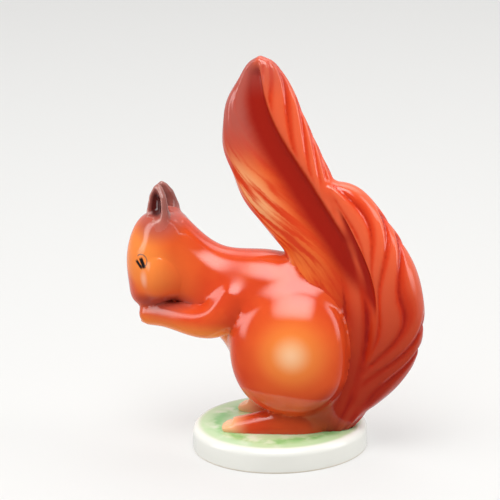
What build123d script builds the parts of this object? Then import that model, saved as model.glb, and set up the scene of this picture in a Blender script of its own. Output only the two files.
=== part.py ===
"""A slip-cast porcelain squirrel on a round plinth, as the cast pieces that a finisher lutes together.

Millimetres, +Z up. The squirrel looks along -X, so its left side faces -Y. The pieces are drawn about the
axis of the plinth and moved along X at the end, so that the origin lies under the middle of the figurine.
Outlines lie in the plane of symmetry, as (x, height above the top of the plinth), and points of the left
side are (x, distance from the plane of symmetry, height above the top of the plinth).
Each piece is trimmed by the larger piece that it is luted to, so the two share the face of the joint.
"""

import os
from math import cos, pi, radians, sin

from build123d import *

# Plinth: a shallow dish turned over, which stands on its foot ring
plinth_diameter = 50.0
plinth_height = 7.0
plinth_top_radius = 2.2
plinth_foot_radius = 0.6
foot_ring_width = 3.5
recess_depth = 2.6
recess_corner_radius = 1.2
vent_diameter = 4.0
vent_x = 9.0

# Wall of the hollow castings, the torso and the head
cast_wall = 3.0

# Torso, from the neck to the seat on the plinth
neck_half_width = 8.2
torso_half_width = 13.0
seat_half_width = 7.5
widest_share = 0.62
back_points = [(-26.5, 59), (-16, 51.2), (-4, 50.6), (10, 47), (20, 36), (24.5, 20), (19, 0)]
belly_points = [(-29.5, 35), (-21.5, 29), (-15, 22.5), (-12.5, 15), (-10.5, 9), (-6.5, 4), (0, 0)]
torso_sections = 8

# Head, from the crown to the chin
head_half_width = 9.8
crown = (-33.0, 61.5)
chin = (-40.0, 33.0)
face_points = [(-38.6, 59.3), (-42.6, 53), (-44, 46.5), (-43.4, 38.5), (-42.6, 35)]
nape_points = [(-27, 59), (-23.5, 52), (-23.5, 45), (-26.5, 38), (-33, 33.6)]
head_stations = [0.07, 0.2, 0.35, 0.5, 0.65, 0.8, 0.93]

# Ears: leaves with a hollow conch that faces outwards and a little forwards
ear_root = (-33.0, 5.0, 56.0)
ear_tip = (-33.5, 1.7, 69.0)
ear_width = 7.4
ear_thickness = 4.2
ear_turn = -32.0
conch_length = 7.0
conch_radius = 1.9
conch_share = 0.6

# Forelegs, from the shoulder past the elbow to the paws under the chin
shoulder = (-10.5, 8.0, 38.0)
elbow = (-15.0, 10.4, 31.4)
wrist = (-30.5, 5.4, 31.4)
paw_end = (-36.6, 3.3, 31.2)
shoulder_radius = 7.0
elbow_radius = 4.9
wrist_radius = 3.4
paw_radius = 3.3
knuckle_step = 0.4
finger_radius = 1.0
finger_length = 5.0
finger_count = 4

# Haunches: flattened balls against the torso
haunch_centre = (7.0, 8.5, 25.2)
haunch_radius = 18.9
haunch_depth = 10.0

# Hind feet, flat on the plinth
heel = (11.5, 6.4)
toe_end = (-11.2, 9.2)
heel_half_width = 2.4
foot_half_width = 3.9
heel_height = 4.0
instep_height = 6.2
instep_share = 0.45
toe_height = 3.4
toe_radius = 1.6
toe_lift = 0.7
toe_length = 7.0
toe_count = 4

# Tail: a tall plume before a lower rear lobe, with combed locks from the parting to the rear edge.
# The parting is a hollow, given by shares of the plume's length and angles round from its rear edge.
plume_half_thickness = 8.0
root_half_thickness = 6.5
plume_tip = (-3.8, 106.2)
plume_front_points = [
    (8, 0), (6, 20), (4, 40), (2.4, 50.8),
    (-4.4, 58.6), (-12.5, 72), (-14.6, 85.8), (-11.4, 95),
]
plume_rear_points = [
    (22, 0), (31, 12), (35.5, 28), (32.5, 44), (24.5, 58),
    (16.4, 71), (11.6, 80), (7, 91), (3, 100),
]
plume_stations = [0, 0.12, 0.25, 0.38, 0.5, 0.62, 0.74, 0.85, 0.95]
rear_half_thickness = 7.5
rear_tip = (19.0, 70.8)
rear_front_points = [(14, 2), (20, 20), (24, 40), (20, 55), (16.5, 66)]
rear_edge_points = [
    (22, 2), (33, 11.5), (39.8, 21.2), (42.3, 36.5),
    (39.8, 47), (34.8, 56), (28, 64.6), (22.8, 69.4),
]
rear_stations = [0, 0.15, 0.3, 0.45, 0.6, 0.75, 0.9]
parting_shares = [0.47, 0.55, 0.63, 0.71, 0.79, 0.87, 0.94]
parting_angles = [60.0, 64.0, 70.0, 79.0, 89.0, 97.0, 104.0]
parting_tip = (0.985, 106.0)
parting_root = (0.38, 58.0)
parting_radius = 8.5
parting_depth = 2.2
spine_behind = 22.0
rear_spine_angle = 92.0
edge_angle = 18.0
lock_radius = 2.8
lock_depth = 2.0
lock_length = 13.0
lock_run = 0.17
plume_lock_starts = [0.42, 0.49, 0.56, 0.63, 0.70, 0.77]
rear_lock_starts = [0.06, 0.19, 0.32, 0.45, 0.58, 0.71]

turf = Plane.XY.offset(plinth_height)
left = -1


def on_turf(x, height, y=0.0):
    """Point at a height above the plinth's top."""
    return Vector(x, y, plinth_height + height)


def left_of(point):
    """Point of the left side, from (x, distance from the plane of symmetry, height)."""
    x, distance, height = point
    return on_turf(x, height, left * distance)


def outline(points):
    """Smooth outline through points of the plane of symmetry."""
    with BuildLine() as line:
        Spline(*[on_turf(x, height) for x, height in points])
    return line.line


def oval(plane, along, across):
    """Closed section of four quarter arcs, whose seams run on through a loft."""
    with BuildSketch(plane) as section:
        with BuildLine():
            for quarter in range(4):
                EllipticalCenterArc((0, 0), along, across, start_angle=90 * quarter, arc_size=90)
        make_face()
    return section.sketch


def slices(lines, half_width, stations, inset=0.0):
    """Ovals square to the plane of symmetry, between two outlines at shares of their length."""
    cut = []
    for share in stations:
        first, second = lines[0] @ share, lines[1] @ share
        span = first - second
        plane = Plane(origin=(first + second) / 2, x_dir=span, z_dir=span.cross(Vector(0, 1, 0)))
        cut.append(oval(plane, span.length / 2 - inset, half_width(share) - inset))
    return cut


def ring(centre, axis, along, across=None, x_dir=None):
    """Round or oval section of a limb, square to its axis."""
    return oval(Plane(origin=centre, x_dir=x_dir, z_dir=axis), along, across or along)


def arch(centre, axis, half_width, height):
    """Section of a foot: the upper half of an oval over its flat sole."""
    plane = Plane(origin=centre, x_dir=Vector(0, 0, 1).cross(axis), z_dir=axis)
    with BuildSketch(plane) as section:
        with BuildLine():
            EllipticalCenterArc((0, 0), half_width, height, start_angle=180, arc_size=-90)
            EllipticalCenterArc((0, 0), half_width, height, start_angle=90, arc_size=-90)
            Line((half_width, 0), (-half_width, 0))
        make_face()
    return section.sketch


def bone(start, end, start_radius, end_radius):
    """Tapered length of a limb, round at both ends."""
    axis = (end - start).normalized()
    diagonal = sin(pi / 4)
    rings = [
        ring(start - axis * start_radius * diagonal, axis, start_radius * diagonal),
        ring(start, axis, start_radius),
        ring(end, axis, end_radius),
        ring(end + axis * end_radius * diagonal, axis, end_radius * diagonal),
    ]
    with BuildPart() as tapered:
        loft([Vertex(start - axis * start_radius), *rings, Vertex(end + axis * end_radius)])
    return tapered.part


def spindle(length, radius):
    """Spindle about Z, pointed at both ends, for locks, digits and hollows."""
    with BuildPart() as drawn:
        loft([Vertex(0, 0, -length / 2), oval(Plane.XY, radius, radius), Vertex(0, 0, length / 2)])
    return drawn.part


def digits(centre, axis, across, half_spread, count, size):
    """Fingers or toes side by side, as spindles that point along the limb."""
    shares = [2 * i / (count - 1) - 1 for i in range(count)]
    places = [centre + across.normalized() * half_spread * share for share in shares]
    return [Plane(origin=place, z_dir=axis).location * spindle(*size) for place in places]


# Plinth, with a recess inside the foot ring and a vent into the torso's cavity
with BuildPart() as plinth:
    with BuildSketch():
        Circle(plinth_diameter / 2)
    extrude(amount=plinth_height)
    fillet(plinth.edges().group_by(Axis.Z)[-1], plinth_top_radius)
    fillet(plinth.edges().group_by(Axis.Z)[0], plinth_foot_radius)
    with BuildSketch():
        Circle(plinth_diameter / 2 - foot_ring_width)
    extrude(amount=recess_depth, mode=Mode.SUBTRACT)
    recess_edges = plinth.edges().filter_by_position(Axis.Z, recess_depth, recess_depth)
    fillet(recess_edges, recess_corner_radius)
    with Locations((vent_x, 0, plinth_height)):
        Hole(vent_diameter / 2)

# Head, drawn to a round end at the crown and the chin
head_lines = outline([crown, *face_points, chin]), outline([crown, *nape_points, chin])


def head_width(share):
    """Half width of the head, from the crown to the chin."""
    return head_half_width * sin(pi * share) ** 0.6


with BuildPart() as head_form:
    head_slices = slices(head_lines, head_width, head_stations)
    loft([Vertex(on_turf(*crown)), *head_slices, Vertex(on_turf(*chin))])

# Torso, hollow from the neck to its seat over the vent, and the head, hollow over the neck
torso_lines = outline(back_points), outline(belly_points)
torso_stations = [i / (torso_sections - 1) for i in range(torso_sections)]


def torso_width(share):
    """Half width of the torso, which eases from the neck to the flanks and on to the seat."""
    if share < widest_share:
        eased = (1 - cos(pi * share / widest_share)) / 2
        return neck_half_width + (torso_half_width - neck_half_width) * eased
    eased = (1 + cos(pi * (share - widest_share) / (1 - widest_share))) / 2
    return seat_half_width + (torso_half_width - seat_half_width) * eased


with BuildPart() as torso_form:
    loft(slices(torso_lines, torso_width, torso_stations))
with BuildPart() as torso_cavity:
    loft(slices(torso_lines, torso_width, torso_stations, cast_wall))
with BuildPart() as torso:
    add(torso_form.part)
    add(torso_cavity.part, mode=Mode.SUBTRACT)
    add(head_form.part, mode=Mode.SUBTRACT)
with BuildPart() as head:
    add(head_form.part)
    loft(slices(head_lines, head_width, head_stations[1:-1], cast_wall), mode=Mode.SUBTRACT)
    add(torso_cavity.part, mode=Mode.SUBTRACT)

# Haunches
with BuildPart() as haunch_form:
    ball = Sphere(haunch_radius, mode=Mode.PRIVATE)
    flattened = scale(ball, by=(1, haunch_depth / haunch_radius, 1), mode=Mode.PRIVATE)
    with Locations(left_of(haunch_centre)):
        add(flattened)
with BuildPart() as left_haunch:
    add(haunch_form.part)
    add(torso_form.part, mode=Mode.SUBTRACT)
with BuildPart() as right_haunch:
    mirror(left_haunch.part, about=Plane.XZ)

# Ears
ear_base = left_of(ear_root)
ear_axis = left_of(ear_tip) - ear_base
ear_across = Vector(1, 0, 0).rotate(Axis.Z, ear_turn)
ear_out = Vector(0, left, 0).rotate(Axis.Z, ear_turn)
ear_shape = [(0.0, 0.8, 1.0), (0.45, 1.0, 0.9), (0.75, 0.75, 0.7), (0.93, 0.35, 0.4)]
conch_centre = ear_base + ear_axis * conch_share + ear_out * ear_thickness / 2
with BuildPart() as left_ear:
    leaf = [
        ring(
            ear_base + ear_axis * share,
            ear_axis,
            ear_width / 2 * wide,
            ear_thickness / 2 * thick,
            ear_across,
        )
        for share, wide, thick in ear_shape
    ]
    loft([*leaf, Vertex(left_of(ear_tip))])
    with Locations(Plane(origin=conch_centre, x_dir=ear_across, z_dir=ear_axis)):
        add(spindle(conch_length, conch_radius), mode=Mode.SUBTRACT)
    add(head_form.part, mode=Mode.SUBTRACT)
with BuildPart() as right_ear:
    mirror(left_ear.part, about=Plane.XZ)

# Forelegs, whose paws meet in the plane of symmetry
joints = [
    (left_of(shoulder), shoulder_radius),
    (left_of(elbow), elbow_radius),
    (left_of(wrist), wrist_radius),
    (left_of(paw_end), paw_radius),
]
hand = left_of(paw_end) - left_of(wrist)
with BuildPart() as left_foreleg:
    for (start, start_radius), (end, end_radius) in zip(joints, joints[1:]):
        add(bone(start, end, start_radius - knuckle_step, end_radius))
    finger_root = left_of(paw_end) + hand.normalized() * paw_radius / 2
    finger_spread = paw_radius - finger_radius
    finger_size = finger_length, finger_radius
    add(digits(finger_root, hand, Vector(0, 0, 1), finger_spread, finger_count, finger_size))
    add(torso_form.part, mode=Mode.SUBTRACT)
    add(head_form.part, mode=Mode.SUBTRACT)
    add(haunch_form.part, mode=Mode.SUBTRACT)
    split(bisect_by=Plane.XZ)
with BuildPart() as right_foreleg:
    mirror(left_foreleg.part, about=Plane.XZ)

# Hind feet
foot_start = on_turf(heel[0], 0, left * heel[1])
foot_end = on_turf(toe_end[0], 0, left * toe_end[1])
foot_axis = foot_end - foot_start
foot_across = foot_axis.cross(Vector(0, 0, 1))
instep = foot_start + foot_axis * instep_share
heel_end = foot_start - foot_axis.normalized() * heel_half_width
with BuildPart() as left_hind_foot:
    loft(
        [
            arch(heel_end, foot_axis, heel_half_width / 2, heel_height / 2),
            arch(foot_start, foot_axis, heel_half_width, heel_height),
            arch(instep, foot_axis, foot_half_width, instep_height),
            arch(foot_end, foot_axis, foot_half_width, toe_height),
        ]
    )
    toe_spread = foot_half_width - toe_radius
    toe_root = foot_end + Vector(0, 0, toe_lift)
    toe_size = toe_length, toe_radius
    add(digits(toe_root, foot_axis, foot_across, toe_spread, toe_count, toe_size))
    split(bisect_by=turf)
    add(torso_form.part, mode=Mode.SUBTRACT)
    add(haunch_form.part, mode=Mode.SUBTRACT)
with BuildPart() as right_hind_foot:
    mirror(left_hind_foot.part, about=Plane.XZ)

# Tail
plume_lines = outline([*plume_front_points, plume_tip]), outline([*plume_rear_points, plume_tip])
rear_lines = outline([*rear_front_points, rear_tip]), outline([*rear_edge_points, rear_tip])


def plume_width(share):
    """Half thickness of the plume, which swells from the root and thins to the tip."""
    swell = root_half_thickness + (plume_half_thickness - root_half_thickness) * min(1, 2 * share)
    return swell * (1 - share**3) ** 0.5


def rear_width(share):
    """Half thickness of the rear lobe, which thins towards both ends."""
    return rear_half_thickness * sin(pi * (0.15 + 0.75 * share)) ** 0.7


def skin(lines, half_width, share, angle, depth=0.0):
    """Point under a lobe's skin, by its share of the length and its angle round from the rear edge."""
    front, rear = lines[0] @ share, lines[1] @ share
    reach = (rear - front) / 2
    long, wide = reach.length - depth, half_width(share) - depth
    return (front + rear) / 2 + reach.normalized() * long * cos(angle) + Vector(0, wide * sin(angle), 0)


def locks(lines, half_width, starts, spine):
    """Spindles that lie in the skin of both sides, from the spine up to the rear edge."""
    combed = []
    for side in (-1, 1):
        for start in starts:
            root, edge = radians(side * spine(start)), radians(side * edge_angle)
            run = skin(lines, half_width, start + lock_run, edge) - skin(lines, half_width, start, root)
            middle = skin(lines, half_width, start + lock_run / 2, (root + edge) / 2, lock_depth)
            combed.append(Plane(origin=middle, z_dir=run).location * spindle(lock_length, lock_radius))
    return combed


def parting_angle(share):
    """Angle of the parting round from the plume's rear edge."""
    pairs = zip(zip(parting_shares, parting_angles), zip(parting_shares[1:], parting_angles[1:]))
    for (low, before), (high, after) in pairs:
        if share < high:
            return before + (after - before) * max(0.0, share - low) / (high - low)
    return parting_angles[-1]


def plume_spine(share):
    """Angle of the ridge behind the plume's parting, where its locks start."""
    return parting_angle(share) - spine_behind


def rear_spine(share):
    """Angle of the ridge where the rear lobe's locks start."""
    return rear_spine_angle


def parting(side):
    """Long hollow of the plume's parting on one side, pointed at both ends."""
    stand_off = parting_depth - parting_radius
    middles = [
        skin(plume_lines, plume_width, share, radians(side * angle), stand_off)
        for share, angle in zip(parting_shares, parting_angles)
    ]
    ends = [
        skin(plume_lines, plume_width, share, radians(side * angle), stand_off)
        for share, angle in (parting_root, parting_tip)
    ]
    path = [ends[0], *middles, ends[1]]
    rings = [
        ring(place, after - before, parting_radius)
        for before, place, after in zip(path, path[1:], path[2:])
    ]
    with BuildPart() as hollow:
        loft([Vertex(ends[0]), *rings, Vertex(ends[1])])
    return hollow.part


with BuildPart() as tail:
    loft([*slices(plume_lines, plume_width, plume_stations), Vertex(on_turf(*plume_tip))])
    for side in (-1, 1):
        add(parting(side), mode=Mode.SUBTRACT)
    loft([*slices(rear_lines, rear_width, rear_stations), Vertex(on_turf(*rear_tip))])
    add(locks(plume_lines, plume_width, plume_lock_starts, plume_spine))
    add(locks(rear_lines, rear_width, rear_lock_starts, rear_spine))
    add(torso_form.part, mode=Mode.SUBTRACT)
    add(haunch_form.part, mode=Mode.SUBTRACT)
    add(mirror(haunch_form.part, about=Plane.XZ, mode=Mode.PRIVATE), mode=Mode.SUBTRACT)

pieces = {
    "plinth": plinth,
    "torso": torso,
    "head": head,
    "left_ear": left_ear,
    "right_ear": right_ear,
    "left_foreleg": left_foreleg,
    "right_foreleg": right_foreleg,
    "left_haunch": left_haunch,
    "right_haunch": right_haunch,
    "left_hind_foot": left_hind_foot,
    "right_hind_foot": right_hind_foot,
    "tail": tail,
}

# Frame, with the origin under the middle of the figurine's length
whole = Compound([piece.part for piece in pieces.values()]).bounding_box()
to_frame = Location((-whole.center().X, 0, 0))

os.makedirs("parts", exist_ok=True)
for name, piece in pieces.items():
    placed = to_frame * piece.part
    placed.label = name
    export_step(placed, f"parts/{name}.step")
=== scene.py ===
"""Visual model of a glazed porcelain squirrel that sits on a round plinth.

The figurine is slip-cast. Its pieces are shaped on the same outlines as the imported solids, joined and fettled as
one skin, so that the glaze runs on over the seams, and cut apart again into the named pieces.

Shapes are worked out in millimetres about the axis of the plinth, +Z up. The squirrel looks along -X and its left
side faces -Y. Heights of the squirrel's own points are above the top of the plinth.
"""

from __future__ import annotations

import logging
import math
from dataclasses import dataclass, field
from enum import Enum
from typing import Any, Callable, Mapping, Sequence, Union

import bmesh
import bpy
import numpy as np
from mathutils import Matrix, Vector
from mathutils.kdtree import KDTree

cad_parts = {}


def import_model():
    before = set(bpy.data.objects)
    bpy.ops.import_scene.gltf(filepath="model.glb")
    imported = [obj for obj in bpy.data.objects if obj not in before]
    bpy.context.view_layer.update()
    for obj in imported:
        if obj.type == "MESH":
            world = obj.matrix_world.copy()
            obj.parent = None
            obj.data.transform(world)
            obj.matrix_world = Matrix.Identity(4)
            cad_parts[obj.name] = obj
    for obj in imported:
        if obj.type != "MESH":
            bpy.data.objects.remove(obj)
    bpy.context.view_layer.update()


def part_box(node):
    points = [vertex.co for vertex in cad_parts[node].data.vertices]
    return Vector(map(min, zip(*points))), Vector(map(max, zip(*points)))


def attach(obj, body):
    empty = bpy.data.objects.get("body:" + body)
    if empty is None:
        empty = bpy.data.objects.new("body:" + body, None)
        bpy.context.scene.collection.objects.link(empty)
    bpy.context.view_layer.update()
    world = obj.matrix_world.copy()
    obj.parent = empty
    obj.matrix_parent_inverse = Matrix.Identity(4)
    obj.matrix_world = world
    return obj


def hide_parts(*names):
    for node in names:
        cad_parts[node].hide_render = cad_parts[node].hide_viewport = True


LOG = logging.getLogger("squirrel")
BODY = "root"
MILLIMETRE = 0.001

Point2 = tuple[float, float]
Point3 = tuple[float, float, float]
Faces = list[tuple[int, ...]]
Law = Callable[[np.ndarray], np.ndarray]


class Piece(Enum):
    """Named pieces of the squirrel, as the finisher lutes them together."""

    TORSO = "torso"
    HEAD = "head"
    LEFT_EAR = "left_ear"
    RIGHT_EAR = "right_ear"
    LEFT_FORELEG = "left_foreleg"
    RIGHT_FORELEG = "right_foreleg"
    LEFT_HAUNCH = "left_haunch"
    RIGHT_HAUNCH = "right_haunch"
    LEFT_HIND_FOOT = "left_hind_foot"
    RIGHT_HIND_FOOT = "right_hind_foot"
    TAIL = "tail"


class Slot(Enum):
    """Material slots of the record."""

    PLINTH = "plinth_glaze"
    RED = "red_glaze"
    TAIL = "tail_glaze"
    EAR = "ear_glaze"


class Guide(Enum):
    """Values kept on the skin's vertices, which the painter's colours follow."""

    SHARE = "share"
    TURN = "turn"
    AHEAD = "ahead"
    FLUTE = "flute"
    VALLEY = "valley"
    STREAK = "streak"
    REAR = "rear"
    GROOVE = "groove"


class Value:
    """Socket of a node, whose arithmetic adds Math nodes to its tree."""

    def __init__(self, bench: "Bench", socket: bpy.types.NodeSocket) -> None:
        """Keep the socket and the bench that its tree is built on."""
        self.bench = bench
        self.socket = socket

    def maths(self, operation: str, *operands: "Operand") -> "Value":
        """Add one Math node.

        Args:
            operation: The node's operation.
            operands: Its inputs, in order.

        Returns:
            The node's result.
        """
        return self.bench.node("ShaderNodeMath", {"operation": operation}, dict(enumerate(operands)))

    def __add__(self, other: "Operand") -> "Value":
        """Sum."""
        return self.maths("ADD", self, other)

    def __radd__(self, other: "Operand") -> "Value":
        """Sum, reflected."""
        return self.maths("ADD", other, self)

    def __sub__(self, other: "Operand") -> "Value":
        """Difference."""
        return self.maths("SUBTRACT", self, other)

    def __rsub__(self, other: "Operand") -> "Value":
        """Difference, reflected."""
        return self.maths("SUBTRACT", other, self)

    def __mul__(self, other: "Operand") -> "Value":
        """Product."""
        return self.maths("MULTIPLY", self, other)

    def __rmul__(self, other: "Operand") -> "Value":
        """Product, reflected."""
        return self.maths("MULTIPLY", other, self)

    def __truediv__(self, other: "Operand") -> "Value":
        """Quotient."""
        return self.maths("DIVIDE", self, other)

    def __rtruediv__(self, other: "Operand") -> "Value":
        """Quotient, reflected."""
        return self.maths("DIVIDE", other, self)

    def __pow__(self, other: "Operand") -> "Value":
        """Power."""
        return self.maths("POWER", self, other)

    def __rpow__(self, other: "Operand") -> "Value":
        """Power, reflected."""
        return self.maths("POWER", other, self)

    def __neg__(self) -> "Value":
        """Negative."""
        return self.maths("MULTIPLY", self, -1.0)

    def __abs__(self) -> "Value":
        """Absolute value."""
        return self.maths("ABSOLUTE", self)

    def sine(self) -> "Value":
        """Sine of an angle in radians."""
        return self.maths("SINE", self)

    def fraction(self) -> "Value":
        """Part of the value after the point."""
        return self.maths("FRACT", self)

    def least(self, other: "Operand") -> "Value":
        """Smaller of the two."""
        return self.maths("MINIMUM", self, other)

    def most(self, other: "Operand") -> "Value":
        """Larger of the two."""
        return self.maths("MAXIMUM", self, other)

    def eased(self, low: float, high: float) -> "Value":
        """Smooth step from nought at one value to one at another.

        Args:
            low: Value that gives nought; it may be the larger one.
            high: Value that gives one.

        Returns:
            The step, between nought and one.
        """
        if low > high:
            return 1.0 - self.eased(high, low)
        sockets = {"Value": self, "From Min": low, "From Max": high}
        return self.bench.node("ShaderNodeMapRange", {"interpolation_type": "SMOOTHSTEP"}, sockets)

    def bell(self, centre: "Operand", width: "Operand") -> "Value":
        """Bell curve of height one.

        Args:
            centre: Where the bell is highest.
            width: Distance at which it has fallen to about a third.

        Returns:
            The bell's height.
        """
        away = (self - centre) / width
        return math.e ** (-(away * away))


Operand = Union[Value, float, int]


class Bench:
    """Node tree under construction, of a material or of Geometry Nodes."""

    def __init__(self, tree: bpy.types.NodeTree) -> None:
        """Keep the tree."""
        self.tree = tree

    def node(
        self,
        kind: str,
        settings: Mapping[str, Any] | None = None,
        sockets: Mapping[int | str, Any] | None = None,
        output: int | str = 0,
    ) -> Value:
        """Add a node.

        Args:
            kind: Type of the node.
            settings: Properties that are set first; stops holds a ramp's places and colours.
            sockets: Values or links of its inputs, by name or number.
            output: Name or number of the output to hand back.

        Returns:
            That output.
        """
        made = self.tree.nodes.new(kind)
        for name, value in (settings or {}).items():
            if name == "stops":
                self._set_stops(made.color_ramp, value)
            else:
                setattr(made, name, value)
        for key, value in (sockets or {}).items():
            if isinstance(value, Value):
                self.tree.links.new(value.socket, made.inputs[key])
            else:
                made.inputs[key].default_value = value
        return Value(self, made.outputs[output])

    @staticmethod
    def _set_stops(ramp: bpy.types.ColorRamp, stops: Sequence[tuple[float, Sequence[float]]]) -> None:
        """Give a ramp its stops, as places and colours."""
        while len(ramp.elements) < len(stops):
            ramp.elements.new(1.0)
        for element, (place, colour) in zip(ramp.elements, stops):
            element.position = place
            element.color = colour


class Recipe:
    """Geometry Nodes tree with named inputs, which is run once on a mesh."""

    def __init__(self, name: str) -> None:
        """Start a tree with a geometry input and a geometry output."""
        self.tree = bpy.data.node_groups.new(name, "GeometryNodeTree")
        self.bench = Bench(self.tree)
        self._entry = self.tree.nodes.new("NodeGroupInput")
        self._identifiers: dict[str, str] = {}
        self.tree.interface.new_socket(name="Geometry", in_out="OUTPUT", socket_type="NodeSocketGeometry")
        self.geometry = self.size("Geometry", "NodeSocketGeometry")

    def size(self, name: str, kind: str = "NodeSocketFloat") -> Value:
        """Add a named input.

        Args:
            name: Name of the input.
            kind: Type of its socket.

        Returns:
            The input's value inside the tree.
        """
        made = self.tree.interface.new_socket(name=name, in_out="INPUT", socket_type=kind)
        self._identifiers[name] = made.identifier
        return Value(self.bench, self._entry.outputs[name])

    def finish(self, geometry: Value, material: bpy.types.Material) -> None:
        """End the tree in real geometry with a material."""
        realised = self.bench.node("GeometryNodeRealizeInstances", None, {"Geometry": geometry})
        glazed = self.bench.node("GeometryNodeSetMaterial", None, {"Geometry": realised, "Material": material})
        end = self.tree.nodes.new("NodeGroupOutput")
        self.tree.links.new(glazed.socket, end.inputs[0])

    def run(self, mesh: bpy.types.Mesh, sizes: Mapping[str, float | int]) -> bpy.types.Mesh:
        """Run the tree on a mesh.

        Args:
            mesh: What goes in, which is used up.
            sizes: Values of the named inputs.

        Returns:
            The plain mesh that comes out.
        """
        holder = bpy.data.objects.new(self.tree.name, mesh)
        bpy.context.scene.collection.objects.link(holder)
        modifier = holder.modifiers.new(self.tree.name, "NODES")
        modifier.node_group = self.tree
        for name, value in sizes.items():
            modifier[self._identifiers[name]] = value
        made = evaluated_mesh(holder)
        holder.modifiers.remove(modifier)
        bpy.data.objects.remove(holder)
        bpy.data.meshes.remove(mesh)
        return made


def evaluated_mesh(holder: bpy.types.Object) -> bpy.types.Mesh:
    """Give the plain mesh that an object's modifiers make of it."""
    graph = bpy.context.evaluated_depsgraph_get()
    return bpy.data.meshes.new_from_object(holder.evaluated_get(graph), preserve_all_data_layers=True, depsgraph=graph)


def mesh_of(name: str, points: np.ndarray, faces: Faces, edges: Sequence[tuple[int, int]] = ()) -> bpy.types.Mesh:
    """Make a mesh of points and faces, or of points and edges."""
    mesh = bpy.data.meshes.new(name)
    mesh.from_pydata(points.tolist(), list(edges), faces)
    mesh.update()
    return mesh


def points_of(mesh: bpy.types.Mesh) -> np.ndarray:
    """Give a mesh's vertices as rows of x, y and z."""
    flat = np.empty(len(mesh.vertices) * 3)
    mesh.vertices.foreach_get("co", flat)
    return flat.reshape(-1, 3)


def faces_of(mesh: bpy.types.Mesh) -> Faces:
    """Give a mesh's faces as tuples of vertex numbers."""
    return [tuple(face.vertices) for face in mesh.polygons]


def keep_guide(mesh: bpy.types.Mesh, name: str, values: np.ndarray) -> None:
    """Store one value for each vertex of a mesh."""
    kept = mesh.attributes.new(name, "FLOAT", "POINT")
    kept.data.foreach_set("value", np.ascontiguousarray(values, dtype=np.float32))


def guide_of(mesh: bpy.types.Mesh, name: str) -> np.ndarray:
    """Read one stored value for each vertex of a mesh."""
    values = np.empty(len(mesh.vertices), dtype=np.float32)
    mesh.attributes[name].data.foreach_get("value", values)
    return values.astype(float)


def face_outwards(mesh: bpy.types.Mesh) -> None:
    """Turn the faces of a closed mesh outwards."""
    shell = bmesh.new()
    shell.from_mesh(mesh)
    bmesh.ops.recalc_face_normals(shell, faces=shell.faces)
    shell.to_mesh(mesh)
    shell.free()
    mesh.update()


def natural_cubic(reach: np.ndarray, knots: np.ndarray, where: np.ndarray) -> np.ndarray:
    """Read a natural cubic spline.

    Args:
        reach: Rising distance of each knot along the spline.
        knots: Points, as rows.
        where: Distances to read at.

    Returns:
        The spline's points there, as rows.
    """
    count = len(reach)
    gap = np.diff(reach)
    system = np.eye(count)
    right = np.zeros_like(knots)
    for i in range(1, count - 1):
        system[i, i - 1 : i + 2] = gap[i - 1], 2.0 * (gap[i - 1] + gap[i]), gap[i]
        right[i] = 6.0 * ((knots[i + 1] - knots[i]) / gap[i] - (knots[i] - knots[i - 1]) / gap[i - 1])
    bend = np.linalg.solve(system, right)
    cell = np.clip(np.searchsorted(reach, where, side="right") - 1, 0, count - 2)
    width = gap[cell][:, None]
    before = (reach[cell + 1] - where)[:, None] / width
    after = 1.0 - before
    line = before * knots[cell] + after * knots[cell + 1]
    line += ((before**3 - before) * bend[cell] + (after**3 - after) * bend[cell + 1]) * width**2 / 6.0
    return line


def running_length(points: np.ndarray) -> np.ndarray:
    """Give the distance of each point along a line of points."""
    return np.concatenate(([0.0], np.cumsum(np.linalg.norm(np.diff(points, axis=0), axis=1))))


class Outline:
    """Smooth line through points of the plane of symmetry, read by share of its length."""

    SAMPLES = 800

    def __init__(self, *points: Point2) -> None:
        """Lay the line through the points."""
        knots = np.array(points, dtype=float)
        reach = running_length(knots)
        self._line = natural_cubic(reach, knots, np.linspace(0.0, reach[-1], self.SAMPLES))
        run = running_length(self._line)
        self._share = run / run[-1]

    def at(self, share: np.ndarray) -> np.ndarray:
        """Give the points at shares of the length, as rows of x and height."""
        return np.column_stack([np.interp(share, self._share, self._line[:, k]) for k in range(2)])


@dataclass
class Form:
    """One closed form of a piece, before the pieces are joined."""

    piece: Piece
    points: np.ndarray
    faces: Faces
    guides: dict[Guide, np.ndarray] = field(default_factory=dict)

    def mirrored(self, piece: Piece) -> "Form":
        """Give the same form on the other side of the plane of symmetry."""
        return Form(piece, self.points * (1.0, -1.0, 1.0), [face[::-1] for face in self.faces], self.guides)


def ringed_faces(rows: int, sides: int) -> Faces:
    """Join rings of points into a closed tube.

    Args:
        rows: Number of rings.
        sides: Points in each ring.

    Returns:
        The faces of the tube, with one face over each end.
    """
    faces: Faces = []
    for row in range(rows - 1):
        start = row * sides
        for side in range(sides):
            beside = (side + 1) % sides
            faces.append((start + side, start + beside, start + sides + beside, start + sides + side))
    faces.append(tuple(reversed(range(sides))))
    faces.append(tuple(range((rows - 1) * sides, rows * sides)))
    return faces


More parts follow.
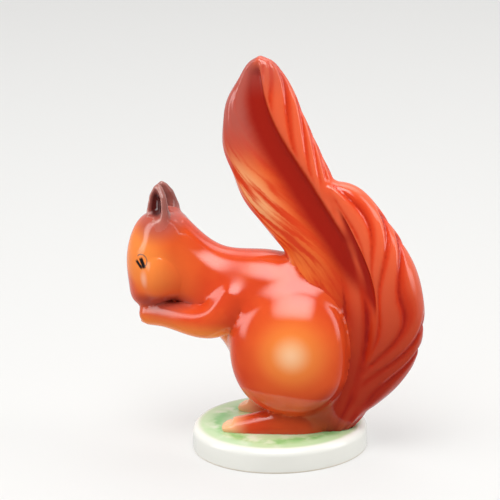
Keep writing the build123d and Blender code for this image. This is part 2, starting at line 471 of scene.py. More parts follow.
@dataclass(frozen=True)
class Lobe:
    """Rounded form between a front and a rear outline of the plane of symmetry.

    The egg narrows the front of each section and widens its rear.
    """

    front: Outline
    rear: Outline
    half_width: Law
    egg: float = 0.0
    rows: int = 170
    sides: int = 144

    def mesh(self, name: str) -> bpy.types.Mesh:
        """Build the lobe, with its share of the length and its turn from the rear edge in degrees."""
        share = (1.0 - np.cos(np.linspace(0.0, math.pi, self.rows))) / 2.0
        front, rear = self.front.at(share), self.rear.at(share)
        middle, reach = (front + rear) / 2.0, (rear - front) / 2.0
        angle = np.linspace(0.0, 2.0 * math.pi, self.sides, endpoint=False)
        rings = np.empty((self.rows, self.sides, 3))
        rings[..., 0] = middle[:, :1] + reach[:, :1] * np.cos(angle)
        rings[..., 1] = self.half_width(share)[:, None] * np.sin(angle) * (1.0 + self.egg * np.cos(angle))
        rings[..., 2] = middle[:, 1:] + reach[:, 1:] * np.cos(angle)
        mesh = mesh_of(name, rings.reshape(-1, 3), ringed_faces(self.rows, self.sides))
        face_outwards(mesh)
        turn = np.degrees(np.minimum(angle, 2.0 * math.pi - angle))
        keep_guide(mesh, Guide.SHARE.value, np.repeat(share, self.sides))
        keep_guide(mesh, Guide.TURN.value, np.tile(turn, self.rows))
        return mesh

    def form(self, piece: Piece) -> Form:
        """Build the lobe as a plain form."""
        mesh = self.mesh(piece.value)
        return Form(piece, points_of(mesh), faces_of(mesh))


@dataclass(frozen=True)
class Limb:
    """Round limb through joints, given as points of the left side with radii, round at both ends."""

    joints: tuple[tuple[Point3, float], ...]
    rows: int = 120
    sides: int = 72

    def form(self, piece: Piece) -> Form:
        """Build the limb on the left side."""
        knots = np.array([(x, -away, height, radius) for (x, away, height), radius in self.joints])
        reach = running_length(knots[:, :3])
        start, end = -knots[0, 3], reach[-1] + knots[-1, 3]
        along = start + (end - start) * (1.0 - np.cos(np.linspace(0.0, math.pi, self.rows))) / 2.0
        inside = np.clip(along, 0.0, reach[-1])
        line = natural_cubic(reach, knots, inside)
        path, radius = line[:, :3], line[:, 3]
        tangent = np.gradient(natural_cubic(reach, knots, np.linspace(0.0, reach[-1], 200))[:, :3], axis=0)
        heading = np.column_stack(
            [np.interp(inside, np.linspace(0.0, reach[-1], 200), tangent[:, k]) for k in range(3)]
        )
        heading /= np.linalg.norm(heading, axis=1)[:, None]
        beyond = along - inside
        path = path + heading * beyond[:, None]
        radius = np.sqrt(np.maximum(radius**2 - beyond**2, 1e-4))
        upward = np.cross(heading, (0.0, 1.0, 0.0))
        upward /= np.linalg.norm(upward, axis=1)[:, None]
        sideways = np.cross(heading, upward)
        angle = np.linspace(0.0, 2.0 * math.pi, self.sides, endpoint=False)
        rings = path[:, None, :] + radius[:, None, None] * (
            np.cos(angle)[None, :, None] * upward[:, None, :] + np.sin(angle)[None, :, None] * sideways[:, None, :]
        )
        return Form(piece, rings.reshape(-1, 3), ringed_faces(self.rows, self.sides))


class Digits:
    """Fingers and toes, side by side, from one Geometry Nodes tree."""

    def __init__(self, material: bpy.types.Material) -> None:
        """Build the tree: spindles on a line along X, which point along Y."""
        self.recipe = Recipe("Digits")
        bench = self.recipe.bench
        count = self.recipe.size("Count", "NodeSocketInt")
        spread = self.recipe.size("Half spread")
        length = self.recipe.size("Length")
        radius = self.recipe.size("Radius")
        taper = self.recipe.size("Outer taper")
        left = bench.node("ShaderNodeCombineXYZ", None, {"X": -spread})
        right = bench.node("ShaderNodeCombineXYZ", None, {"X": spread})
        row = bench.node(
            "GeometryNodeMeshLine",
            {"mode": "END_POINTS"},
            {"Count": count, "Start Location": left, "Offset": right},
        )
        bud = bench.node("GeometryNodeMeshUVSphere", None, {"Segments": 24, "Rings": 16, "Radius": 1.0})
        place = bench.node("GeometryNodeInputIndex")
        outer = abs(place * 2.0 / (count - 1.0) - 1.0)
        shrink = 1.0 - taper * outer
        size = bench.node(
            "ShaderNodeCombineXYZ", None, {"X": radius * shrink, "Y": length * 0.5 * shrink, "Z": radius * shrink}
        )
        buds = bench.node("GeometryNodeInstanceOnPoints", None, {"Points": row, "Instance": bud, "Scale": size})
        self.recipe.finish(buds, material)

    def form(self, piece: Piece, place: Matrix, sizes: Mapping[str, float | int]) -> Form:
        """Build one row of digits.

        Args:
            piece: Piece that they belong to.
            place: Where the row's own axes lie, in millimetres.
            sizes: Values of the tree's inputs.

        Returns:
            The digits as one form.
        """
        mesh = self.recipe.run(mesh_of("digits", np.zeros((1, 3)), []), sizes)
        mesh.transform(place)
        return Form(piece, points_of(mesh), faces_of(mesh))


def axes_matrix(origin: np.ndarray, across: np.ndarray, along: np.ndarray) -> Matrix:
    """Give the matrix that lays X across a limb and Y along it."""
    forward = along / np.linalg.norm(along)
    sideways = across - forward * (across @ forward)
    sideways /= np.linalg.norm(sideways)
    upward = np.cross(sideways, forward)
    columns = np.column_stack([sideways, forward, upward, origin])
    return Matrix([*columns.tolist(), [0.0, 0.0, 0.0, 1.0]])


@dataclass(frozen=True)
class Torso:
    """Body from the neck to the seat."""

    back: Outline = Outline((-26.5, 59), (-16, 51.2), (-4, 50.6), (10, 47), (20, 36), (24.5, 20), (19, -0.4))
    belly: Outline = Outline((-29.5, 35), (-21.5, 29), (-15, 22.5), (-11.5, 15), (-8.5, 9), (-4.5, 4), (1, -0.4))
    neck_half_width: float = 8.2
    half_width: float = 13.0
    seat_half_width: float = 7.5
    widest_share: float = 0.62

    def width(self, share: np.ndarray) -> np.ndarray:
        """Give the half width at shares of the length, eased from the neck to the flanks and the seat."""
        upper = (1.0 - np.cos(np.pi * share / self.widest_share)) / 2.0
        lower = (1.0 + np.cos(np.pi * (share - self.widest_share) / (1.0 - self.widest_share))) / 2.0
        neck = self.neck_half_width + (self.half_width - self.neck_half_width) * upper
        seat = self.seat_half_width + (self.half_width - self.seat_half_width) * lower
        return np.where(share < self.widest_share, neck, seat)

    def forms(self) -> list[Form]:
        """Build the torso."""
        return [Lobe(self.belly, self.back, self.width).form(Piece.TORSO)]


@dataclass(frozen=True)
class Head:
    """Head from the crown to the chin, bent down to the paws."""

    face: Outline = Outline(
        (-33, 61.5), (-38.6, 59.3), (-42.6, 53), (-43.85, 46.5), (-43.4, 38.5), (-42.6, 35), (-40, 33)
    )
    nape: Outline = Outline((-33, 61.5), (-27, 59), (-23.5, 52), (-23.5, 45), (-26.5, 38), (-33, 33.6), (-40, 33))
    half_width: float = 9.8
    egg: float = 0.16

    def width(self, share: np.ndarray) -> np.ndarray:
        """Give the half width at shares of the length."""
        return self.half_width * np.sin(np.pi * np.clip(share, 0.0, 1.0)) ** 0.6

    def forms(self) -> list[Form]:
        """Build the head."""
        return [Lobe(self.face, self.nape, self.width, self.egg).form(Piece.HEAD)]


@dataclass(frozen=True)
class Ear:
    """Leaf with a cupped face that looks outwards and a little forwards."""

    root: Point3 = (-33.0, 5.0, 56.0)
    tip: Point3 = (-33.5, 1.7, 69.0)
    half_width: float = 4.1
    half_thickness: float = 2.3
    turn: float = -32.0
    cup: float = 2.3
    shape: tuple[Point3, ...] = ((0.0, 1.0, 1.1), (0.4, 1.0, 0.95), (0.75, 0.72, 0.75), (0.93, 0.34, 0.45), (1.0, 0.02, 0.1))
    rows: int = 90
    sides: int = 96

    def forms(self) -> list[Form]:
        """Build both ears."""
        share = np.linspace(0.0, 1.0, self.rows)
        places, wide, thick = np.array(self.shape).T
        wide_at = np.interp(share, places, wide) * self.half_width
        thick_at = np.interp(share, places, thick) * self.half_thickness
        base = np.array((self.root[0], -self.root[1], self.root[2]))
        axis = np.array((self.tip[0], -self.tip[1], self.tip[2])) - base
        lean = math.radians(self.turn)
        across = np.array((math.cos(lean), math.sin(lean), 0.0))
        out = np.array((math.sin(lean), -math.cos(lean), 0.0))
        angle = np.linspace(0.0, 2.0 * math.pi, self.sides, endpoint=False)
        hollow = np.clip(1.0 - (np.cos(angle) / 0.8) ** 2, 0.0, 1.0) * (np.sin(angle) > 0.0)
        depth = self.cup * np.clip((share - 0.2) / 0.25, 0.0, 1.0) * np.clip((0.97 - share) / 0.3, 0.0, 1.0)
        outward = thick_at[:, None] * np.sin(angle) - depth[:, None] * hollow * (thick_at[:, None] / self.half_thickness)
        rings = (
            base
            + axis * share[:, None, None]
            + across * (wide_at[:, None] * np.cos(angle))[..., None]
            + out * outward[..., None]
        )
        conch = (depth[:, None] * hollow / self.cup).ravel()
        faces = ringed_faces(self.rows, self.sides)
        leaf = Form(Piece.LEFT_EAR, rings.reshape(-1, 3), faces, {Guide.VALLEY: conch})
        return [leaf, leaf.mirrored(Piece.RIGHT_EAR)]


@dataclass(frozen=True)
class Foreleg:
    """Upper arm, forearm and paw, with fingers that meet under the chin."""

    joints: tuple[tuple[Point3, float], ...] = (
        ((-10.5, 6.6, 37.5), 6.2),
        ((-14.8, 9.2, 32.6), 5.2),
        ((-30.5, 5.4, 31.6), 3.7),
        ((-36.4, 3.3, 31.2), 3.4),
    )
    finger_count: int = 4
    finger_radius: float = 1.0
    finger_length: float = 5.0
    finger_spread: float = 2.3

    def forms(self, digits: Digits) -> list[Form]:
        """Build both forelegs."""
        (wrist, _), (paw, radius) = self.joints[-2:]
        end = np.array((paw[0], -paw[1], paw[2]))
        hand = end - np.array((wrist[0], -wrist[1], wrist[2]))
        hand /= np.linalg.norm(hand)
        place = axes_matrix(end + hand * radius * 0.5, np.array((0.0, 0.0, 1.0)), hand)
        sizes = {
            "Count": self.finger_count,
            "Half spread": self.finger_spread,
            "Length": self.finger_length,
            "Radius": self.finger_radius,
            "Outer taper": 0.1,
        }
        left = [Limb(self.joints).form(Piece.LEFT_FORELEG), digits.form(Piece.LEFT_FORELEG, place, sizes)]
        return left + [form.mirrored(Piece.RIGHT_FORELEG) for form in left]


@dataclass(frozen=True)
class Haunch:
    """Rounded thigh, a flattened ball against the torso."""

    centre: Point3 = (5.3, 8.5, 24.8)
    half_length: float = 16.9
    half_height: float = 19.4
    depth: float = 10.0
    fullness: float = 0.88
    lean: float = 0.22
    rows: int = 130
    sides: int = 160

    def forms(self) -> list[Form]:
        """Build both haunches."""
        fall = np.linspace(0.0, math.pi, self.rows)[:, None]
        angle = np.linspace(0.0, 2.0 * math.pi, self.sides, endpoint=False)[None, :]
        around = np.stack([np.cos(angle), np.sin(angle)])
        full = np.sign(around) * np.abs(around) ** self.fullness
        ball = np.stack(
            [np.sin(fall) * full[0], np.cos(fall) + 0.0 * angle, np.sin(fall) * full[1]],
            axis=-1,
        )
        centre = (self.centre[0], -self.centre[1], self.centre[2])
        points = ball.reshape(-1, 3) * (self.half_length, self.depth, self.half_height)
        points[:, 1] += self.lean * np.maximum(points[:, 2], 0.0) ** 2 / self.half_height
        points = points + centre
        left = Form(Piece.LEFT_HAUNCH, points, ringed_faces(self.rows, self.sides))
        return [left, left.mirrored(Piece.RIGHT_HAUNCH)]


@dataclass(frozen=True)
class HindFoot:
    """Foot with a flat sole and toes, from the heel under the haunch to the front of the plinth."""

    heel: Point2 = (11.5, 6.4)
    toe_end: Point2 = (-11.2, 9.2)
    profile: tuple[Point3, ...] = ((-0.1, 1.2, 2.0), (0.0, 2.4, 4.0), (0.45, 3.9, 6.2), (0.85, 3.9, 4.2), (1.0, 3.7, 3.4))
    sole_depth: float = 0.4
    toe_count: int = 4
    toe_radius: float = 1.6
    toe_length: float = 7.0
    toe_lift: float = 0.7
    toe_spread: float = 2.3
    rows: int = 80
    sides: int = 64

    def forms(self, digits: Digits) -> list[Form]:
        """Build both feet."""
        start = np.array((self.heel[0], -self.heel[1], 0.0))
        axis = np.array((self.toe_end[0], -self.toe_end[1], 0.0)) - start
        across = np.cross(axis, (0.0, 0.0, 1.0))
        across /= np.linalg.norm(across)
        knots = np.array(self.profile)
        share = np.linspace(knots[0, 0], knots[-1, 0], self.rows)
        half, height = natural_cubic(knots[:, 0], knots[:, 1:], share).T
        angle = np.linspace(0.0, 2.0 * math.pi, self.sides, endpoint=False)
        rise = np.where(np.sin(angle) > 0.0, height[:, None] * np.sin(angle), self.sole_depth * np.sin(angle))
        rings = (
            start
            + axis * share[:, None, None]
            + across * (half[:, None] * np.cos(angle))[..., None]
            + np.array((0.0, 0.0, 1.0)) * rise[..., None]
        )
        sole = Form(Piece.LEFT_HIND_FOOT, rings.reshape(-1, 3), ringed_faces(self.rows, self.sides))
        toe_root = start + axis + (0.0, 0.0, self.toe_lift)
        sizes = {
            "Count": self.toe_count,
            "Half spread": self.toe_spread,
            "Length": self.toe_length,
            "Radius": self.toe_radius,
            "Outer taper": 0.15,
        }
        toes = digits.form(Piece.LEFT_HIND_FOOT, axes_matrix(toe_root, across, axis), sizes)
        left = [sole, toes]
        return left + [form.mirrored(Piece.RIGHT_HIND_FOOT) for form in left]


class Combing:
    """Geometry Nodes tree that combs leaning flutes and a parting into a lobe of the tail."""

    PARTING = "parting"
    SPINE_BEHIND = 10.0
    SPINE_FADE = 0.5
    SKEW = 0.75
    ROUNDNESS = 0.5
    STRANDS = 2.0
    WANDER = 0.42
    WANDER_RATE = 17.0
    STREAK_RATE = 9.5
    EDGE_RATE = 3.4
    ROOT_SPACING = 24.0

    def __init__(self, material: bpy.types.Material) -> None:
        """Build the tree, which sinks creases into the skin and keeps the guides for the painter."""
        self.recipe = Recipe("Combed flutes")
        bench = self.recipe.bench
        size = self.recipe.size
        count, lean, curl, depth = size("Count"), size("Lean"), size("Curl"), size("Depth")
        strand_depth, edge_wave, root_depth = size("Strand depth"), size("Edge wave"), size("Root depth")
        valley_depth, valley_front = size("Valley depth"), size("Valley front")
        valley_rear, valley_start = size("Valley rear"), size("Valley start")
        share, turn, parting = (self._guide(name) for name in (Guide.SHARE.value, Guide.TURN.value, self.PARTING))
        spine = parting - self.SPINE_BEHIND
        behind = (turn / spine).least(1.0)
        wander = (share * self.WANDER_RATE + behind * 2.0).sine() * self.WANDER
        phase = (share - lean * (1.0 - behind) ** curl) * count + wander
        within = phase.fraction() ** self.SKEW
        petal = (4.0 * within * (1.0 - within)).most(0.0) ** self.ROUNDNESS
        combed = (spine - turn).eased(-3.0, 4.0) * (1.0 - self.SPINE_FADE * behind)
        strand = abs((phase * self.STRANDS * math.pi).sine())
        ahead = (turn - parting).most(0.0)
        back = (parting - turn).most(0.0)
        valley = ahead.bell(0.0, valley_front) * back.bell(0.0, valley_rear) * share.eased(0.985, 0.93) * (share - valley_start).eased(0.0, 0.16)
        smooth = ((turn - parting) / 30.0).eased(0.0, 1.0)
        streak = abs(((share * self.STREAK_RATE - turn / 20.0) * math.pi).sine())
        lapped = turn.eased(128.0, 168.0) * (0.5 + 0.5 * (share * count * self.EDGE_RATE).sine())
        sunk = (depth * (1.0 - petal) + strand_depth * (1.0 - strand)) * combed
        sunk = sunk + valley_depth * valley + strand_depth * (1.0 - streak) * smooth + edge_wave * lapped
        long_strand = abs((turn / self.ROOT_SPACING * math.pi + share * 5.0).sine()) ** self.ROUNDNESS
        root = share.eased(0.5, 0.3) * root_depth * (1.0 - long_strand)
        sunk = sunk + root
        flute = (petal * combed + (1.0 - combed)) * (1.0 - root.least(1.0))
        geometry = self._keep(self.recipe.geometry, Guide.FLUTE, flute)
        geometry = self._keep(geometry, Guide.VALLEY, valley)
        geometry = self._keep(geometry, Guide.STREAK, streak)
        normal = bench.node("GeometryNodeInputNormal")
        offset = bench.node("ShaderNodeVectorMath", {"operation": "SCALE"}, {0: normal, "Scale": -sunk})
        combed_skin = bench.node("GeometryNodeSetPosition", None, {"Geometry": geometry, "Offset": offset})
        self.recipe.finish(combed_skin, material)

    def _guide(self, name: str) -> Value:
        """Read a value of the lobe's vertices inside the tree."""
        return self.recipe.bench.node("GeometryNodeInputNamedAttribute", {"data_type": "FLOAT"}, {"Name": name})

    def _keep(self, geometry: Value, guide: Guide, value: Value) -> Value:
        """Store a value on the lobe's vertices inside the tree."""
        sockets = {"Geometry": geometry, "Name": guide.value, "Value": value}
        settings = {"data_type": "FLOAT", "domain": "POINT"}
        return self.recipe.bench.node("GeometryNodeStoreNamedAttribute", settings, sockets)

    def form(self, lobe: Lobe, parting: Law, sizes: Mapping[str, float], rear: float) -> Form:
        """Comb one lobe.

        Args:
            lobe: The smooth lobe.
            parting: Angle of the parting from the rear edge, in degrees, by share of the length.
            sizes: Values of the tree's inputs.
            rear: One for the rear lobe, nought for the plume.

        Returns:
            The combed lobe.
        """
        mesh = lobe.mesh(Piece.TAIL.value)
        keep_guide(mesh, self.PARTING, parting(guide_of(mesh, Guide.SHARE.value)))
        made = self.recipe.run(mesh, sizes)
        stored = (Guide.SHARE, Guide.TURN, Guide.FLUTE, Guide.VALLEY, Guide.STREAK)
        kept = {guide: guide_of(made, guide.value) for guide in stored}
        kept[Guide.AHEAD] = (kept[Guide.TURN] - guide_of(made, self.PARTING)) / 90.0
        kept[Guide.REAR] = np.full(len(made.vertices), rear)
        return Form(Piece.TAIL, points_of(made), faces_of(made), kept)


@dataclass(frozen=True)
class Tail:
    """Tall plume before a lower rear lobe, both combed from a parting to the rear edge."""

    plume_front: Outline = Outline(
        (8, -0.4), (6, 20), (4, 40), (2.4, 50.8), (-4.4, 58.8), (-11.8, 71.3),
        (-14.9, 84.5), (-13.2, 93), (-9.9, 99.7), (-6.6, 104.2), (-3.3, 106.1),
    )
    plume_rear: Outline = Outline(
        (22, -0.4), (31, 12), (35.5, 28), (32.5, 44), (24.5, 58.5), (17.5, 71),
        (13.3, 79.8), (8.4, 91), (4.3, 100), (-0.3, 105), (-3.3, 106.1),
    )
    rear_front: Outline = Outline((14, 2), (20, 20), (24, 40), (20, 54), (15, 64), (13.2, 69), (15.6, 70.9))
    rear_edge: Outline = Outline(
        (22, 2), (33.4, 11.3), (39.8, 20.6), (42.2, 30), (42.2, 37.5), (40, 47), (34.9, 56.6),
        (29.6, 64), (25, 69), (20.4, 70.9), (15.6, 70.9),
    )
    plume_half_thickness: float = 8.0
    root_half_thickness: float = 6.5
    rear_half_thickness: float = 7.5
    plume_parting: tuple[Point2, ...] = (
        (0.4, 52.0), (0.53, 50.0), (0.6, 52.0), (0.665, 56.0), (0.72, 63.0), (0.78, 72.0), (0.885, 88.0), (1.0, 102.0)
    )
    rear_parting: float = 118.0

    def plume_width(self, share: np.ndarray) -> np.ndarray:
        """Give the half thickness of the plume, which swells from the root and thins to the tip."""
        swell = self.root_half_thickness
        swell = swell + (self.plume_half_thickness - self.root_half_thickness) * np.minimum(1.0, 2.0 * share)
        return swell * np.sqrt(np.maximum(1.0 - share**3, 0.0))

    def rear_width(self, share: np.ndarray) -> np.ndarray:
        """Give the half thickness of the rear lobe, which thins towards both ends."""
        return self.rear_half_thickness * np.sin(np.pi * (0.15 + 0.75 * share)) ** 0.7

    def parting(self, share: np.ndarray) -> np.ndarray:
        """Give the angle of the plume's parting from its rear edge."""
        places, angles = np.array(self.plume_parting).T
        return np.interp(share, places, angles)

    def forms(self, combing: Combing) -> list[Form]:
        """Build the plume and the rear lobe."""
        plume = combing.form(
            Lobe(self.plume_front, self.plume_rear, self.plume_width, rows=300, sides=192),
            self.parting,
            {
                "Count": 14.5,
                "Lean": 0.2,
                "Curl": 0.85,
                "Depth": 1.3,
                "Strand depth": 0.12,
                "Edge wave": 0.35,
                "Root depth": 0.9,
                "Valley depth": 2.6,
                "Valley front": 36.0,
                "Valley rear": 8.0,
                "Valley start": 0.3,
            },
            0.0,
        )
        rear = combing.form(
            Lobe(self.rear_front, self.rear_edge, self.rear_width, rows=240, sides=192),
            lambda share: np.full_like(share, self.rear_parting),
            {
                "Count": 5.4,
                "Lean": 0.5,
                "Curl": 0.6,
                "Depth": 1.4,
                "Strand depth": 0.12,
                "Edge wave": 0.0,
                "Root depth": 0.0,
                "Valley depth": 1.4,
                "Valley front": 20.0,
                "Valley rear": 8.0,
                "Valley start": -0.2,
            },
            1.0,
        )
        return [plume, rear]


@dataclass(frozen=True)
class Fettling:
    """How the luted pieces are smoothed into one skin."""

    voxel: float = 0.36
    polish_rounds: int = 6
    lute_rounds: int = 600
    lute_step: int = 20
    wipe_rounds: int = 24
    cheek: Point2 = (-32.0, 42.2)
    cheek_size: Point2 = (6.2, 7.4)
    cheek_height: float = 1.3
    paw_lute: float = 3.0
    groove_rounds: int = 60
    groove_depth: float = 0.6
    wall: float = 0.8
    eye_socket: Point3 = (-39.5, 7.0, 54.3)
    socket_depth: float = 0.5
    socket_radius: float = 3.0

    def lute_radius(self, first: Piece, second: Piece) -> float:
        """Give the reach of the slip that fills the seam between two pieces.

        Args:
            first: One piece.
            second: The other piece.

        Returns:
            How far the slip reaches from the seam, in millimetres.
        """
        kinds = {piece.value.split("_", 1)[-1] for piece in (first, second)}
        if kinds == {"head", "foreleg"} or kinds == {"foreleg"}:
            return self.paw_lute
        radii = {
            "torso": 16.0,
            "head": 2.6,
            "ear": 3.0,
            "foreleg": 9.0,
            "haunch": 14.0,
            "hind_foot": 1.4,
            "tail": 1.0,
        }
        return min(radii[kind] for kind in kinds)


class Skin:
    """Fettled outer skin of the joined forms, in millimetres."""

    def __init__(self, forms: Sequence[Form], fettling: Fettling) -> None:
        """Join the forms, smooth the seams and work out the guides."""
        self.fettling = fettling
        self._join(forms)
        self._polish()
        self._label(forms)
        self._lute()
        self._wipe()
        self._raise_cheeks()
        self._press_sockets()
        self._find_grooves()

    def _join(self, forms: Sequence[Form]) -> None:
        """Unite the forms and keep only their outer skin."""
        points, faces, start = [], [], 0
        for form in forms:
            points.append(form.points)
            faces.extend(tuple(start + corner for corner in face) for face in form.faces)
            start += len(form.points)
        holder = bpy.data.objects.new("joined", mesh_of("joined", np.concatenate(points), faces))
        bpy.context.scene.collection.objects.link(holder)
        remesh = holder.modifiers.new("joined", "REMESH")
        remesh.mode = "VOXEL"
        remesh.voxel_size = self.fettling.voxel
        mesh = evaluated_mesh(holder)
        bpy.data.objects.remove(holder)
        self.points = points_of(mesh)
        self.faces = np.array([face.vertices[:] for face in mesh.polygons])
        edges = np.empty(len(mesh.edges) * 2, dtype=np.int64)
        mesh.edges.foreach_get("vertices", edges)
        self.edges = edges.reshape(-1, 2)
        self.degree = np.bincount(self.edges.ravel(), minlength=len(self.points)).astype(float)
        bpy.data.meshes.remove(mesh)

    def around(self, values: np.ndarray) -> np.ndarray:
        """Give the mean of each vertex's neighbours.

        Args:
            values: One value or one row for each vertex.

        Returns:
            The means, in the same shape.
        """
        columns = values.reshape(len(values), -1)
        first, second = self.edges.T
        sums = [
            np.bincount(first, column[second], len(values)) + np.bincount(second, column[first], len(values))
            for column in columns.T
        ]
        return (np.column_stack(sums) / self.degree[:, None]).reshape(values.shape)

    def _polish(self) -> None:
        """Take the steps of the voxels out without shrinking the form."""
        for _ in range(self.fettling.polish_rounds):
            self.points += 0.5 * (self.around(self.points) - self.points)
            self.points -= 0.53 * (self.around(self.points) - self.points)

    def _label(self, forms: Sequence[Form]) -> None:
        """Give each vertex the piece and the guides of the nearest point of the forms."""
        total = sum(len(form.points) for form in forms)
        tree = KDTree(total)
        owners = np.empty(total, dtype=np.int64)
        guides = {guide: np.zeros(total) for guide in Guide}
        pieces = list(Piece)
        start = 0
        for form in forms:
            for number, point in enumerate(form.points.tolist(), start):
                tree.insert(point, number)
            end = start + len(form.points)
            owners[start:end] = pieces.index(form.piece)
            for guide, values in form.guides.items():
                guides[guide][start:end] = values
            start = end
        tree.balance()
        nearest = np.array([tree.find(point)[1] for point in self.points.tolist()])
        self.owner = self._settled(owners[nearest], len(pieces))
        self.guides = {guide: values[nearest] for guide, values in guides.items()}
        for guide, values in self.guides.items():
            for _ in range(2):
                values = 0.5 * (values + self.around(values))
            self.guides[guide] = values

    def _settled(self, owner: np.ndarray, count: int) -> np.ndarray:
        """Smooth the borders between the pieces by the vote of the neighbours."""
        votes = np.eye(count)[owner]
        for _ in range(6):
            votes = 0.4 * votes + 0.6 * self.around(votes)
        return votes.argmax(axis=1)

    def _lute(self) -> None:
        """Fill the seams between the pieces with slip."""
        first, second = self.edges.T
        length = np.linalg.norm(self.points[first] - self.points[second], axis=1)
        rear = self.guides[Guide.REAR] > 0.5
        seams = self.edges[(self.owner[first] != self.owner[second]) | (rear[first] != rear[second])]
        pieces = list(Piece)
        reach = np.array([[self.fettling.lute_radius(a, b) for b in pieces] for a in pieces])
        radii = reach[self.owner[seams[:, 0]], self.owner[seams[:, 1]]]
        weight = np.zeros(len(self.points))
        for radius in np.unique(radii):
            away = np.full(len(self.points), 1e3)
            away[seams[radii == radius].ravel()] = 0.0
            for _ in range(int(radius / self.fettling.voxel) + 4):
                np.minimum.at(away, first, away[second] + length)
                np.minimum.at(away, second, away[first] + length)
            weight = np.maximum(weight, np.clip(1.0 - away / radius, 0.0, 1.0))
        for number in range(self.fettling.lute_rounds):
            if number % self.fettling.lute_step == 0:
                normals = self._normals()
            lift = ((self.around(self.points) - self.points) * normals).sum(axis=1)
            self.points += (0.6 * weight * np.maximum(lift, 0.0))[:, None] * normals

    def _wipe(self) -> None:
        """Wipe the border between the tail's two lobes smooth."""
        rear = self.guides[Guide.REAR]
        for _ in range(self.fettling.wipe_rounds):
            rear = 0.5 * (rear + self.around(rear))
        border = 4.0 * rear * (1.0 - rear)
        for _ in range(self.fettling.wipe_rounds):
            self.points += 0.5 * border[:, None] * (self.around(self.points) - self.points)
            for values in self.guides.values():
                values += border * (self.around(values) - values)

    def _normals(self) -> np.ndarray:
        """Work out the normals of the skin's vertices."""
        corners = self.points[self.faces]
        facing = np.cross(corners[:, 2] - corners[:, 0], corners[:, 3] - corners[:, 1])
        flat = self.faces.ravel()
        sums = [np.bincount(flat, np.repeat(column, 4), len(self.points)) for column in facing.T]
        normals = np.column_stack(sums)
        return normals / np.linalg.norm(normals, axis=1)[:, None]

    def _raise_cheeks(self) -> None:
        """Raise a round cheek on each side of the head, which runs out softly to the front."""
        (x, z), (half_length, half_height) = self.fettling.cheek, self.fettling.cheek_size
        away = ((self.points[:, 0] - x) / half_length) ** 2 + ((self.points[:, 2] - z) / half_height) ** 2
        softness = 0.7 + 1.8 * np.clip((x - self.points[:, 0]) / half_length, 0.0, 1.0)
        bulge = self.fettling.cheek_height * np.clip(1.0 - away, 0.0, 1.0) ** softness
        self.points[:, 1] += bulge * np.clip(self.points[:, 1] / 4.0, -1.0, 1.0)

    def _press_sockets(self) -> None:
        """Press a shallow socket round each eye."""
        folded = self.points * (1.0, 0.0, 1.0)
        folded[:, 1] = np.abs(self.points[:, 1])
        away = np.linalg.norm(folded - self.fettling.eye_socket, axis=1) / self.fettling.socket_radius
        press = self.fettling.socket_depth * np.exp(-(away**2))
        self.points[:, 1] -= np.sign(self.points[:, 1]) * press

    def _find_grooves(self) -> None:
        """Work out how deep each vertex lies under the skin's general run."""
        self.normals = self._normals()
        run = self.points.copy()
        for _ in range(self.fettling.groove_rounds):
            run += 0.6 * (self.around(run) - run)
        self.guides[Guide.GROOVE] = ((run - self.points) * self.normals).sum(axis=1) / self.fettling.groove_depth

    def _face_owner(self) -> np.ndarray:
        """Give each face to the piece that holds most of its corners."""
        corners = self.owner[self.faces]
        held = np.stack([(corners == piece).sum(axis=1) for piece in range(len(Piece))], axis=1)
        return held.argmax(axis=1)

    def cut(self, piece: Piece, origin: Vector) -> bpy.types.Mesh:
        """Cut one piece out of the skin.

        Args:
            piece: The piece.
            origin: Where the plinth's axis meets its top, in metres.

        Returns:
            The piece as a closed mesh in the row's frame, with the skin's own normals.
        """
        wanted = list(Piece).index(piece)
        faces = self.faces[self._face_owner() == wanted]
        used, corners = np.unique(faces, return_inverse=True)
        outer = corners.reshape(faces.shape)
        rim = self._rim(outer)
        backs = rim if piece is Piece.TAIL else np.unique(outer)
        order = np.unique(backs)
        inside = np.full(len(used), -1)
        inside[order] = len(used) + np.arange(len(order))
        points = np.concatenate([self.points[used], self.points[used[order]] - self.fettling.wall * self.normals[used[order]]])
        walls = np.column_stack([rim[:, 1], rim[:, 0], inside[rim[:, 0]], inside[rim[:, 1]]])
        closing: Faces = [tuple(face) for face in walls.tolist()]
        if piece is Piece.TAIL:
            points = np.concatenate([points, points[order].mean(axis=0, keepdims=True)])
            closing += [(inside[b], inside[a], len(points) - 1) for a, b in rim.tolist()]
        else:
            closing += [tuple(face) for face in inside[outer[:, ::-1]].tolist()]
        mesh = mesh_of(
            piece.value,
            points * MILLIMETRE + np.array(origin),
            [tuple(face) for face in outer.tolist()] + closing,
        )
        spare = len(points) - len(used)
        for guide, values in self.guides.items():
            keep_guide(mesh, guide.value, np.concatenate([values[used], np.zeros(spare)]))
        mesh.shade_smooth()
        normals = np.concatenate([self.normals[used], np.zeros((spare, 3))])
        mesh.normals_split_custom_set_from_vertices(normals.tolist())
        return mesh

    @staticmethod
    def _rim(faces: np.ndarray) -> np.ndarray:
        """Give the open edges of some faces, in the faces' own direction."""
        edges = np.concatenate([np.column_stack([faces[:, i], faces[:, (i + 1) % 4]]) for i in range(4)])
        _, first, count = np.unique(np.sort(edges, axis=1), axis=0, return_index=True, return_counts=True)
        return edges[first[count == 1]]


